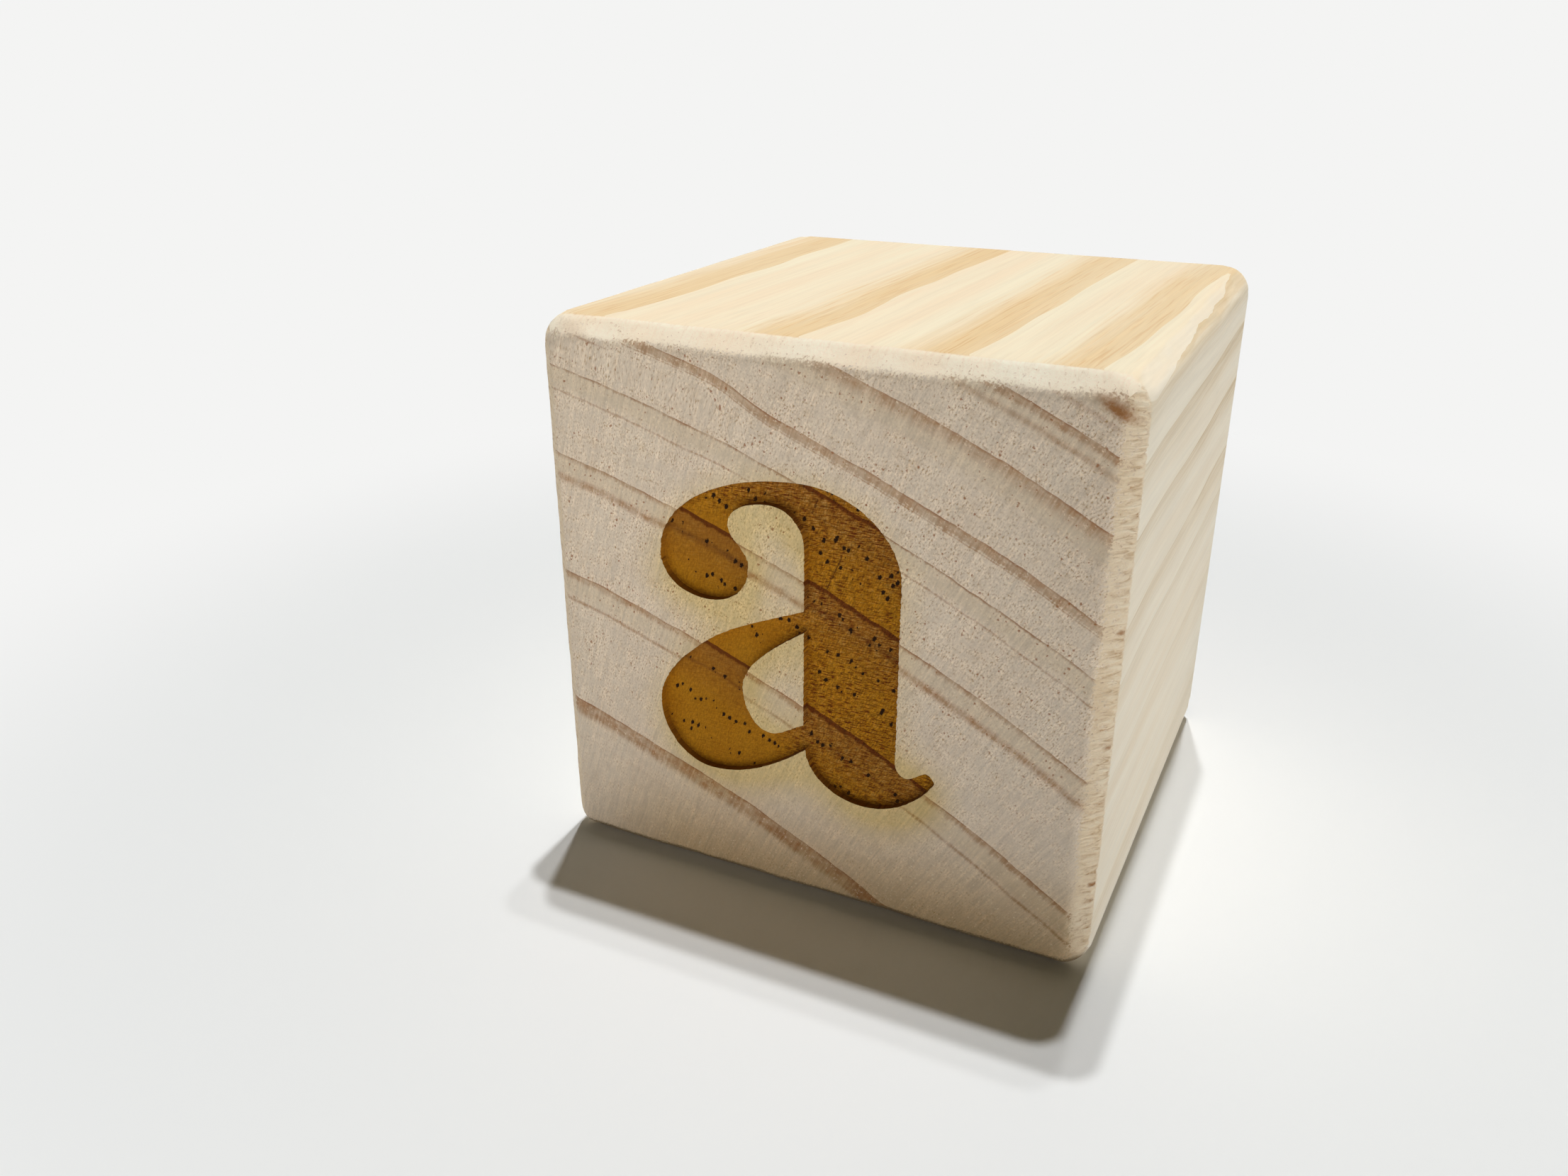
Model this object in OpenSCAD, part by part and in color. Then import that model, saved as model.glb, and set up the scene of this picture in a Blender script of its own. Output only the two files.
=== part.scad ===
// Alphabet block: one solid piece of pale pine, cut from a square strip, with all
// its edges bevelled, its corners nipped and a small letter a sunk into the front.
// The grain runs front to back, so the letter stands in end grain.
// Origin: middle of the bottom face. +Z is up, +X is right, the letter faces -Y.
// All lengths are in millimetres.

/* [Block] */
// Width of the strip that the block is cut from, left to right
block_w = 50; // [40:1:80]
// Height of the strip
block_h = 50; // [40:1:80]
// Length cut off the strip, front to back
block_d = 50; // [15:1:120]

/* [Edges and corners] */
// How far each bevel reaches in from the edge
bevel = 1.5; // [0.8:0.1:4]
// Radius that sanding leaves on the two ridges of a bevel
ridge_r = 1; // [0.2:0.1:1.8]
// Depth taken off the point of each corner
corner_nip = 0.7; // [0.1:0.1:1.5]

/* [Letter] */
// Height of the letter
letter_h = 27.8; // [20:0.1:34]
// Width of the letter, from the bowl to the tip of the tail
letter_w = 25.6; // [22:0.1:32]
// Width of the upright stem
stem_w = 8.3; // [6:0.1:9.5]
// How far the tail reaches past the stem
tail_w = 3.4; // [2.5:0.1:5]
// Thickness of the arch over the upper counter, where it is thinnest
arch_t = 2.2; // [1:0.1:3.5]
// Width of the ball that ends the arch
ball_w = 8.3; // [6:0.1:9.5]
// Depth of the letter's floor below the face
letter_sink = 0.7; // [0.3:0.1:2]
// How far the letter's middle lies left of the face's middle
letter_left = 1.3; // [-4:0.1:4]
// How far the letter's middle lies above the face's middle
letter_up = 0.1; // [-4:0.1:4]

/* [Hidden] */

// Colours of the planed wood and of the burnt floor
pine = "#e3d5b9";
scorched = "#8a5a22";

// One overrun serves every cut
overrun = 1;
// Straight pieces that stand for a ridge's arc and for one curve of the letter
ridge_steps = 4;
curve_steps = 16;

// A bevel turns 45 degrees away from each of its two faces
bevel_turn = 45;
// Tilt of a corner's diagonal away from straight up
corner_tilt = atan(sqrt(2));

// The letter's stem stands between the bowl on its left and the tail on its right
stem_right = letter_w - tail_w;
stem_left = stem_right - stem_w;
// The ball starts a little inside the bowl's left edge
ball_inset_share = 0.022;
ball_left = ball_inset_share * letter_w;
// Underside of the arch, as a share of the letter's height
arch_under_share = 1 - arch_t / letter_h;

// The outline is a closed pen path through knots. A knot's row gives its place
// across and up, the heading on which the pen arrives and leaves, in degrees from
// straight right, and how far that heading pulls the curve before and after it.
// Up and pull are shares of the letter's height. Across is a share that runs from
// 0 to 1 over the bowl, on to 2 over the stem and on to 3 over the tail.
body_shares = [
    // top of the arch, its shoulder and the foot of the stem
    [0.985, 1, 0, 0, 0.26, 0.165],
    [2, 0.748, -90, -90, 0.13, 0],
    [2, 0.175, -90, -90, 0, 0.018],
    // dip beside the stem, crest and tip of the tail
    [2.28, 0.136, 0, 0, 0.018, 0.022],
    [2.78, 0.168, 18, 18, 0.022, 0.009],
    [3, 0.14, -90, -90, 0.013, 0.011],
    // bottom of the tail and the notch between it and the bowl
    [1.66, 0, 180, 180, 0.14, 0.112],
    [1.02, 0.148, 94, 218, 0.068, 0.058],
    // bottom, left side and shoulder of the bowl
    [0.36, 0, 180, 180, 0.151, 0.1],
    [0, 0.2, 90, 90, 0.104, 0.108],
    [0.37, 0.458, 38, 38, 0.1, 0.094],
    // where the bowl meets the stem, and the stem above it
    [1, 0.611, 24, 90, 0.094, 0],
    [1, 0.8, 90, 90, 0, 0.068],
    // underside of the arch and the throat above the ball
    [0.776, arch_under_share, 180, 180, 0.065, 0.076],
    [0.506, 0.845, -90, -90, 0.04, 0.054],
];
// Knots of the ball: here across runs from 0 to 1 over the ball's own width
ball_shares = [
    [1, 0.718, -90, -90, 0.058, 0.076],
    [0.52, 0.589, 180, 180, 0.086, 0.086],
    [0, 0.72, 90, 90, 0.083, 0.155],
];
// Knots of the counter, the island of face that the bowl encloses
counter_shares = [
    [1, 0.542, 35, -90, 0.094, 0],
    [1, 0.232, -90, 205, 0, 0.047],
    [0.776, 0.178, 180, 180, 0.036, 0.058],
    [0.588, 0.315, 90, 90, 0.061, 0.086],
];

// Across, from a share over bowl, stem and tail
function over_body(share) =
    share < 1 ? share * stem_left :
    share < 2 ? stem_left + (share - 1) * stem_w :
    stem_right + (share - 2) * tail_w;

// Across, from a share over the ball
function over_ball(share) = ball_left + share * ball_w;

// One knot in millimetres, with its place across already worked out
function knot(across, row) =
    [across, row[1] * letter_h, row[2], row[3], row[4] * letter_h, row[5] * letter_h];

body_knots = [for (row = body_shares) knot(over_body(row[0]), row)];
ball_knots = [for (row = ball_shares) knot(over_ball(row[0]), row)];
counter_knots = [for (row = counter_shares) knot(over_body(row[0]), row)];

// A step of a given length on a heading
function pace(distance, heading) = distance * [cos(heading), sin(heading)];

// Point of a cubic curve with ends a and d and handles b and c, at t from 0 to 1
function cubic(a, b, c, d, t) =
    pow(1 - t, 3) * a + 3 * t * pow(1 - t, 2) * b + 3 * t * t * (1 - t) * c + pow(t, 3) * d;

// Points from one knot up to the next, one alone where no pull bends the way
function stretch(from, to) =
    let (
        a = [from[0], from[1]],
        d = [to[0], to[1]],
        b = a + pace(from[5], from[3]),
        c = d - pace(to[4], to[2]),
        steps = from[5] + to[4] == 0 ? 1 : curve_steps
    )
    [for (i = [0 : steps - 1]) cubic(a, b, c, d, i / steps)];

// Closed outline through a list of knots
function pen_path(knots) =
    [for (i = [0 : len(knots) - 1]) each stretch(knots[i], knots[(i + 1) % len(knots)])];

// Arc that rounds one ridge of a bevelled rectangle. The ridge lies at the given
// place, and the outline leaves it turned by bevel_turn from where it came.
function ridge_arc(place, heading) =
    let (
        setback = ridge_r * tan(bevel_turn / 2),
        start = place - pace(setback, heading),
        centre = start + pace(ridge_r, heading + 90)
    )
    [for (i = [0 : ridge_steps])
        centre + pace(ridge_r, heading - 90 + i * bevel_turn / ridge_steps)];

// Outline of a rectangle about the origin with bevelled corners and soft ridges
function soft_section(w, h) =
    let (x = w / 2, y = h / 2)
    concat(
        ridge_arc([x - bevel, -y], 0),
        ridge_arc([x, -y + bevel], bevel_turn),
        ridge_arc([x, y - bevel], 90),
        ridge_arc([x - bevel, y], 90 + bevel_turn),
        ridge_arc([-x + bevel, y], 180),
        ridge_arc([-x, y - bevel], 180 + bevel_turn),
        ridge_arc([-x, -y + bevel], 270),
        ridge_arc([-x + bevel, -y], 270 + bevel_turn)
    );

// Bar with a soft section, centred, as long as the block is deep, wide or high
module soft_bar(w, h, run) {
    linear_extrude(height = run, center = true)
        polygon(soft_section(w, h));
}

// Cutter that takes the point off one corner of the block, square to its diagonal.
// The bevels alone would meet in a point half a bevel inside each face.
module corner_cutter(side_x, side_y, side_z) {
    point = [
        side_x * (block_w - bevel) / 2,
        side_y * (block_d - bevel) / 2,
        side_z * (block_h - bevel) / 2
    ];
    inward = [side_x, side_y, side_z] * corner_nip / sqrt(3);
    lean = side_z > 0 ? corner_tilt : 180 - corner_tilt;
    size = 2 * (bevel + corner_nip);
    translate(point - inward)
        rotate([0, lean, atan2(side_y, side_x)])
            translate([-size / 2, -size / 2, 0])
                cube(size);
}

// The blank: bevelled along all twelve edges and nipped at the eight corners
module blank() {
    difference() {
        intersection() {
            soft_bar(block_w, block_d, block_h);
            rotate([90, 0, 0])
                soft_bar(block_w, block_h, block_d);
            rotate([90, 0, 90])
                soft_bar(block_d, block_h, block_w);
        }
        for (side_x = [-1, 1], side_y = [-1, 1], side_z = [-1, 1])
            corner_cutter(side_x, side_y, side_z);
    }
}

// The flat shape of the letter, with its lower left corner at the origin
module letter_shape() {
    difference() {
        polygon(pen_path(concat(body_knots, ball_knots)));
        polygon(pen_path(counter_knots));
    }
}

// What is burnt away: the letter, from just before the face to its floor
module letter_sunk() {
    translate([
        -letter_left - letter_w / 2,
        -block_d / 2 + letter_sink,
        letter_up - letter_h / 2
    ])
        rotate([90, 0, 0])
            linear_extrude(height = letter_sink + overrun)
                letter_shape();
}

// The whole block, standing on its bottom face
module block() {
    translate([0, 0, block_h / 2])
        difference() {
            color(pine) blank();
            color(scorched) letter_sunk();
        }
}

block();
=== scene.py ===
import math

import bmesh
import bpy
import numpy as np
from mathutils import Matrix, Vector, kdtree, noise


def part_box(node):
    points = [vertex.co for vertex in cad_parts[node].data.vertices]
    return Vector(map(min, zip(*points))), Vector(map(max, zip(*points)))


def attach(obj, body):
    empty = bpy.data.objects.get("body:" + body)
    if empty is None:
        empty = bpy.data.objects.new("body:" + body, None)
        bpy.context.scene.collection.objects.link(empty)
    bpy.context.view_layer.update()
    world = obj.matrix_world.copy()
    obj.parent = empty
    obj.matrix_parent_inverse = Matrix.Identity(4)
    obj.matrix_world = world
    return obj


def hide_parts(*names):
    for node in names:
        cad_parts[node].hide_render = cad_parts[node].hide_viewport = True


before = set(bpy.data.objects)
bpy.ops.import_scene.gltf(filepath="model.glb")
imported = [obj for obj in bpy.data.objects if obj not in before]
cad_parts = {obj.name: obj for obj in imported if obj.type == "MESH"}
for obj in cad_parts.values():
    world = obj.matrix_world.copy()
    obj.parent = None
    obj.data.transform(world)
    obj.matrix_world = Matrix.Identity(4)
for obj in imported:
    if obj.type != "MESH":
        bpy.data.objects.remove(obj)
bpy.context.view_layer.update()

# An alphabet block of bare pine: a sanded cube with a letter scorched into its end grain.
# It is one piece of wood, so one fine mesh stands for the CAD node. The growth rings
# are one pattern in space, and every face, bevel and the letter's floor cuts through it.
# Meshes are in metres. The patterns of the wood are worked out in millimetres.
MM = 0.001
low, high = (Vector(corner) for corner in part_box("block"))
middle = (low + high) / 2
# The front's place along the depth, in mm
FRONT = low.y / MM
# Spacing of the laser's lines
SCAN_PITCH = 0.15 * MM


# Colours and nodes
def linear(code):
    """Linear colour, with alpha, of an sRGB hex code."""
    parts = [int(code[i:i + 2], 16) / 255 for i in (1, 3, 5)]
    return tuple(p / 12.92 if p <= 0.04045 else ((p + 0.055) / 1.055) ** 2.4 for p in parts) + (1,)


def add(tree, kind, *values, **settings):
    """Adds a node with its settings. Its inputs follow in order, as values, sockets or nodes.

    A hex code is a colour, and a dict names its inputs.
    """
    node = tree.nodes.new(kind)
    for name, value in settings.items():
        setattr(node, name, value)
    live = [socket for socket in node.inputs if socket.enabled]
    pairs = list(zip(live, values))
    if values and isinstance(values[0], dict):
        pairs = [(node.inputs[name], value) for name, value in values[0].items()]
    for socket, value in pairs:
        if isinstance(value, bpy.types.Node):
            value = next(output for output in value.outputs if output.enabled)
        if isinstance(value, bpy.types.NodeSocket):
            tree.links.new(value, socket)
        elif isinstance(value, str):
            socket.default_value = linear(value)
        else:
            socket.default_value = value
    return node


MATH = "ShaderNodeMath"
VECTOR = "ShaderNodeVectorMath"
JOIN = "ShaderNodeCombineXYZ"
SPLIT = "ShaderNodeSeparateXYZ"
RANGE = "ShaderNodeMapRange"
NOISE = "ShaderNodeTexNoise"
CELLS = "ShaderNodeTexVoronoi"
MIX = "ShaderNodeMix"
BUMP = "ShaderNodeBump"
SOFT = {"interpolation_type": "SMOOTHSTEP"}
COLOUR = {"data_type": "RGBA"}
# Scale, detail and roughness of a noise, whose size in mm comes with its place
CALM = (1.0, 1.0, 0.5)
CLOUDY = (1.0, 2.0, 0.5)
ROUGH = (1.0, 2.0, 0.6)


def empty_material(name):
    material = bpy.data.materials.new(name)
    material.use_nodes = True
    material.node_tree.nodes.clear()
    return material, material.node_tree


def block_place(tree):
    """The block's texture coordinates, and how far right, back and up in mm a point lies."""
    place = add(tree, "ShaderNodeTexCoord")
    in_mm = add(tree, VECTOR, place.outputs["Object"], 1 / MM, operation="SCALE")
    return place, *add(tree, SPLIT, in_mm).outputs


# Growth rings
# The block was cut about 15 cm from the heart of the tree. The heart lies to the left
# and below, runs along the block's depth, and is a little further left at the front.
HEART_X = -60.1
HEART_Z = -114.9
LEAN = 0.028
# Arcs are measured on a ring of this radius, near the middle of the block
MID_RADIUS = 160.0
# Every year, in mm: radius where it ends, width of its dark summer wood on the end grain
# and on the long grain; radius, width and strength of a false ring inside it; radii of
# three rows of resin canals; and last the summer wood's strength, the share of it that is
# evenly dark and the width of the smooth grey wood below it. From the bark side inwards.
YEARS = [
    ((192.0, 1.5, 2.0), (189.5, 0.2, 0.0), (187.5, 186.0, 185.2), (0.8, 0.3, 2.5)),
    ((183.9, 1.9, 2.2), (181.6, 0.4, 0.4), (183.0, 181.9, 180.8), (0.75, 0.2, 2.5)),
    ((180.0, 0.9, 2.6), (178.5, 0.45, 0.6), (178.9, 177.4, 176.0), (0.8, 0.5, 2.4)),
    ((175.0, 1.5, 2.1), (172.9, 0.2, 0.1), (173.9, 172.7, 171.4), (0.85, 0.1, 3.0)),
    ((168.95, 0.85, 1.6), (168.1, 0.12, 0.8), (167.3, 166.3, 165.5), (0.75, 0.8, 1.0)),
    ((165.0, 0.3, 0.9), (163.0, 0.18, 0.7), (161.6, 162.2, 159.9), (0.6, 0.3, 2.2)),
    ((157.6, 0.6, 1.4), (155.6, 0.6, 0.95), (155.9, 153.0, 150.4), (0.7, 0.2, 2.6)),
    ((147.1, 0.8, 1.4), (144.6, 0.3, 0.8), (144.6, 141.4, 138.3), (0.8, 0.4, 3.0)),
    ((134.8, 1.9, 1.6), (131.0, 0.3, 0.1), (133.2, 131.0, 128.0), (0.95, 0.55, 2.0)),
    ((121.0, 1.0, 1.2), (119.0, 0.2, 0.2), (119.5, 118.0, 116.0), (0.8, 0.5, 2.0)),
]
# On the left one summer band swells outwards: by how much, at which radius, how far from
# there the swelling holds and ends, all in mm, and the angles between which it fades out
SWELL = 0.95
SWELL_RADIUS = 169.2
SWELL_REACH = (1.2, 3.2)
SWELL_FADE = (0.308, 0.347)


def wood_spot(tree, around, along, radius, around_mm, along_mm, radius_mm):
    """Place in the tree, counted in a pattern's own sizes round, along and out from the heart."""
    return add(
        tree, JOIN,
        add(tree, MATH, around, around_mm, operation="DIVIDE"),
        add(tree, MATH, along, along_mm, operation="DIVIDE"),
        add(tree, MATH, radius, radius_mm, operation="DIVIDE"),
    )


def pores(tree, around, radius, cell_mm, stretch):
    """One pore in each cell of the end grain. Gives the way to its middle in mm, which is
    shorter out from the heart by the stretch, the pore's own radius in the tree and a lot."""
    spot = wood_spot(tree, around, radius, 0.0, cell_mm, cell_mm * stretch, 1.0)
    cells = add(tree, CELLS, spot, 1.0, voronoi_dimensions="2D")
    apart = add(tree, VECTOR, spot, cells.outputs["Position"], operation="SUBTRACT")
    apart = add(tree, VECTOR, apart, cell_mm, operation="SCALE")
    ragged = add(tree, NOISE, spot, 5.0, 1.0, 0.5, noise_dimensions="2D")
    way = add(tree, VECTOR, apart, operation="LENGTH").outputs["Value"]
    way = add(tree, MATH, ragged, 0.3 * cell_mm, way, operation="MULTIPLY_ADD")
    way = add(tree, MATH, way, 0.15 * cell_mm, operation="SUBTRACT")
    own = add(tree, SPLIT, cells.outputs["Position"]).outputs[1]
    own = add(tree, MATH, own, cell_mm * stretch, operation="MULTIPLY")
    lot = add(tree, SPLIT, cells.outputs["Color"]).outputs[0]
    return way, own, lot


def tree_place(tree):
    """Where in its tree a point lies: its angle from straight up, its way round the heart on
    the middle ring, its way along the grain and its distance from the heart."""
    _, x, y, z = block_place(tree)
    # The heart leans, so the rings shift to the right towards the back
    lean = add(tree, MATH, y, -LEAN, LEAN * FRONT - HEART_X, operation="MULTIPLY_ADD")
    across = add(tree, MATH, x, lean, operation="ADD")
    up = add(tree, MATH, z, -HEART_Z, operation="ADD")
    turn = add(tree, MATH, across, up, operation="ARCTAN2")
    around = add(tree, MATH, turn, MID_RADIUS, operation="MULTIPLY")
    true_radius = add(tree, VECTOR, add(tree, JOIN, across, 0.0, up), operation="LENGTH")
    return turn, around, y, true_radius.outputs["Value"]


def ring_radius(tree, turn, around, along, true_radius):
    """The distance from the heart at which the point would lie in a perfectly round tree."""
    radius = true_radius
    # A trunk isn't turned on a lathe: its rings waver over 14, 3 and 0.8 mm
    for wave, depth, reach in ((14.0, 80.0, 0.75), (3.2, 40.0, 0.28), (0.8, 12.0, 0.12)):
        spot = wood_spot(tree, around, along, true_radius, wave, depth, 0.9 * wave)
        waver = add(tree, MATH, add(tree, NOISE, spot, *CALM), 0.5, operation="SUBTRACT")
        radius = add(tree, MATH, waver, reach, radius, operation="MULTIPLY_ADD")
    # Behind the front they sway along the grain too, over 20 mm and by up to 0.7 mm
    sway = add(tree, NOISE, wood_spot(tree, around, along, true_radius, 60.0, 20.0, 14.0), *CALM)
    sway = add(tree, MATH, sway, 0.9, operation="SUBTRACT")
    behind = add(tree, RANGE, along, FRONT, FRONT + 12.0, 0.0, 1.0, **SOFT)
    sway = add(tree, MATH, sway, behind, operation="MULTIPLY")
    radius = add(tree, MATH, sway, 0.8, radius, operation="MULTIPLY_ADD")
    swell = add(tree, RANGE, turn, *SWELL_FADE, SWELL, 0.0, **SOFT)
    off_band = add(tree, MATH, true_radius, SWELL_RADIUS, operation="SUBTRACT")
    off_band = add(tree, MATH, off_band, operation="ABSOLUTE")
    near = add(tree, RANGE, off_band, *SWELL_REACH, 1.0, 0.0)
    swell = add(tree, MATH, swell, near, operation="MULTIPLY")
    return add(tree, MATH, radius, swell, operation="SUBTRACT")


def growing_year(tree, radius):
    """The row of YEARS that a point grew in, as four groups of three sockets."""
    rows = [add(tree, JOIN, *part) for part in YEARS[0]]
    for parts in YEARS[1:]:
        inside = add(tree, MATH, radius, parts[0][0], operation="LESS_THAN")
        rows = [
            add(tree, MIX, inside, row, part, data_type="VECTOR")
            for row, part in zip(rows, parts)
        ]
    return [add(tree, SPLIT, row).outputs for row in rows]


def resin_canals(tree, around, radius, canal_rows):
    """Pores 0.25 to 0.4 mm across that stand in rows along the rings."""
    way, own, lot = pores(tree, around, radius, cell_mm=0.72, stretch=1.35)
    row_gap = None
    for canal_row in canal_rows:
        gap = add(tree, MATH, own, canal_row, operation="SUBTRACT")
        gap = add(tree, MATH, gap, operation="ABSOLUTE")
        row_gap = gap if row_gap is None else add(tree, MATH, row_gap, gap, operation="MINIMUM")
    in_row = add(tree, RANGE, row_gap, 0.4, 0.55, 1.0, 0.0)
    size = add(tree, RANGE, lot, 0.12, 0.56, 0.0, 0.19)
    size = add(tree, MATH, size, in_row, operation="MULTIPLY")
    hollow = add(tree, MATH, size, way, operation="SUBTRACT")
    return add(tree, RANGE, hollow, 0.0, 0.05, 0.0, 1.0)


def growth_rings():
    """Node group that tells where in its tree a point of the block lies."""
    tree = bpy.data.node_groups.new("growth rings", "ShaderNodeTree")
    for name in ("Radius", "Around", "Along", "To year end", "Edge line", "Summer", "Amber",
                 "False ring", "Smooth", "Rays", "Canals"):
        tree.interface.new_socket(name, in_out="OUTPUT", socket_type="NodeSocketFloat")
    turn, around, along, true_radius = tree_place(tree)
    radius = ring_radius(tree, turn, around, along, true_radius)
    ends, false_rings, canal_rows, shares = growing_year(tree, radius)
    end, end_grain_band, long_grain_band = ends
    false_radius, false_width, false_strength = false_rings
    strength, even_share, smooth_width = shares
    to_end = add(tree, MATH, end, radius, operation="SUBTRACT")
    # Rays: sheets 0.2 mm thin that run from the heart to the bark
    ray_spot = wood_spot(tree, around, along, radius, 0.24, 3.0, 6.0)
    rays = add(tree, NOISE, ray_spot, *ROUGH)
    # The rays comb light streaks into the dark bands, which are blotchy over 1.5 mm too
    comb = add(tree, MATH, rays, 0.45, operation="SUBTRACT")
    combed = add(tree, MATH, comb, 0.7, to_end, operation="MULTIPLY_ADD")
    even = add(tree, MATH, end_grain_band, even_share, operation="MULTIPLY")
    summer = add(tree, RANGE, combed, even, end_grain_band, 1.0, 0.0, **SOFT)
    blotches = add(tree, NOISE, wood_spot(tree, around, along, radius, 1.5, 20.0, 0.7), *ROUGH)
    blotches = add(tree, RANGE, blotches, 0.35, 0.62, 0.55, 1.0)
    ray_gaps = add(tree, RANGE, rays, 0.4, 0.75, 1.0, 0.6)
    blotches = add(tree, MATH, blotches, ray_gaps, operation="MULTIPLY")
    strength = add(tree, MATH, strength, blotches, operation="MULTIPLY")
    summer = add(tree, MATH, summer, strength, operation="MULTIPLY")
    # A thin rusty line marks the year's end in some places and is lost in others
    edge_line = add(tree, RANGE, to_end, 0.05, 0.2, 1.0, 0.0)
    seen = add(tree, NOISE, wood_spot(tree, around, along, radius, 3.5, 30.0, 3.0), *ROUGH)
    seen = add(tree, RANGE, seen, 0.4, 0.6, 0.1, 1.0)
    edge_line = add(tree, MATH, edge_line, seen, operation="MULTIPLY")
    all_smooth = add(tree, MATH, smooth_width, 0.5, operation="MULTIPLY")
    smooth = add(tree, RANGE, to_end, all_smooth, smooth_width, 1.0, 0.0, **SOFT)
    streak_spot = wood_spot(tree, around, along, radius, 0.35, 30.0, 0.35)
    streaks = add(tree, NOISE, streak_spot, *ROUGH)
    streaked = add(tree, MATH, streaks, 0.5, operation="SUBTRACT")
    streaked = add(tree, MATH, streaked, 1.6, to_end, operation="MULTIPLY_ADD")
    inner = add(tree, MATH, long_grain_band, 0.35, operation="MULTIPLY")
    amber = add(tree, RANGE, streaked, inner, long_grain_band, 1.0, 0.0, **SOFT)
    off = add(tree, MATH, radius, false_radius, operation="SUBTRACT")
    off = add(tree, MATH, off, operation="ABSOLUTE")
    off = add(tree, MATH, comb, 0.2, off, operation="MULTIPLY_ADD")
    false_ring = add(tree, RANGE, off, 0.0, false_width, 1.0, 0.0, **SOFT)
    false_ring = add(tree, MATH, false_ring, false_strength, operation="MULTIPLY")
    false_ring = add(tree, MATH, false_ring, blotches, operation="MULTIPLY")
    canals = resin_canals(tree, around, radius, canal_rows)
    add(tree, "NodeGroupOutput", {
        "Radius": radius, "Around": around, "Along": along, "To year end": to_end,
        "Edge line": edge_line, "Summer": summer, "Amber": amber, "False ring": false_ring,
        "Smooth": smooth, "Rays": rays, "Canals": canals,
    })
    return tree


def in_wood(tree, rings, around_mm, along_mm, radius_mm):
    """A pattern's place in the tree, from the growth rings group."""
    from_rings = (rings.outputs[name] for name in ("Around", "Along", "Radius"))
    return wood_spot(tree, *from_rings, around_mm, along_mm, radius_mm)


# Each resin spot on the front: its middle in mm, its half size in mm, how much it falls
# to the right, and its strength
RESIN_SPOTS = [
    ((23.0, 47.7), (1.5, 0.6), 0.55, 0.95), ((-19.8, 48.3), (1.8, 0.13), 0.25, 0.5),
    ((-21.5, 49.0), (2.0, 0.6), 0.3, 0.22), ((24.7, 31.0), (0.35, 0.22), 0.0, 0.8),
    ((24.7, 21.3), (0.35, 0.2), 0.0, 0.8), ((24.7, 8.7), (0.4, 0.3), 0.0, 0.9),
    ((24.7, 7.1), (0.3, 0.2), 0.0, 0.7),
]


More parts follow.
